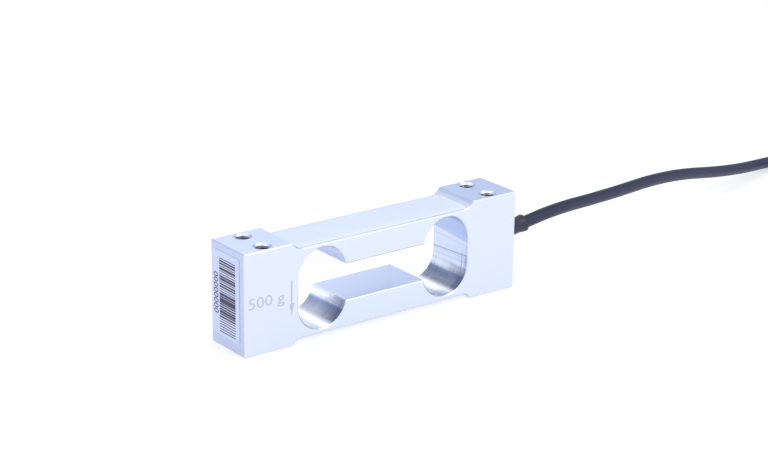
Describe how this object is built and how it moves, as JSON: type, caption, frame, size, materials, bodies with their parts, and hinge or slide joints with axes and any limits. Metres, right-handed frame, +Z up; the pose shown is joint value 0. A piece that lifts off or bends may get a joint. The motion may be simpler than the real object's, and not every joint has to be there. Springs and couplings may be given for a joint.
{
  "type": "parallel beam load cell",
  "caption": "Small single-point load cell: milled aluminium beam with a shaped window, strain gauges under silicone, and a four-core cable.",
  "frame": {"origin": "middle of the beam's length and width, on the surface that the beam stands on", "axes": "+X along the beam towards the cable, +Y across the beam, +Z up"},
  "size_m": [0.2225, 0.0492, 0.022],
  "materials": {
    "beam_aluminium": "fine milled and pale anodised",
    "gauge_film": "amber polyimide with metal foil",
    "strip_laminate": "glass-fibre laminate with copper pads",
    "chip_body": "black chip with metallised ends",
    "enamelled_wire": "copper wire in clear red enamel",
    "core_red": "smooth insulation",
    "core_black": "smooth insulation",
    "core_green": "smooth insulation",
    "core_white": "smooth insulation",
    "silicone": "milky silicone with a soft skin",
    "label_paper": "satin white label",
    "potting": "black potting",
    "boot": "dark shrunk sleeve",
    "jacket": "dark grey-blue cable jacket",
    "tinned_copper": "tinned strands"
  },
  "bodies": {
    "root": {"beam": "beam_aluminium", "gauge_top_load_end": "gauge_film", "gauge_top_cable_end": "gauge_film", "gauge_bottom_load_end": "gauge_film", "gauge_bottom_cable_end": "gauge_film", "terminal_strip": "strip_laminate", "zero_resistor": "chip_body", "span_resistor": "chip_body", "wire_top_load_a": "enamelled_wire", "wire_top_load_b": "enamelled_wire", "wire_top_cable_a": "enamelled_wire", "wire_top_cable_b": "enamelled_wire", "wire_bottom_load_a": "enamelled_wire", "wire_bottom_load_b": "enamelled_wire", "wire_bottom_cable_a": "enamelled_wire", "wire_bottom_cable_b": "enamelled_wire", "core_red": "core_red", "core_black": "core_black", "core_green": "core_green", "core_white": "core_white", "sealant_top": "silicone", "sealant_bottom": "silicone", "end_label": "label_paper", "bore_potting": "potting", "cable_boot": "boot", "cable_tube": "jacket", "cable_coil": "jacket", "cable_end": "jacket", "end_sleeve": "boot", "tail_red": "core_red", "tail_black": "core_black", "tail_green": "core_green", "tail_white": "core_white", "tip_red": "tinned_copper", "tip_black": "tinned_copper", "tip_green": "tinned_copper", "tip_white": "tinned_copper"}
  },
  "joints": []
}
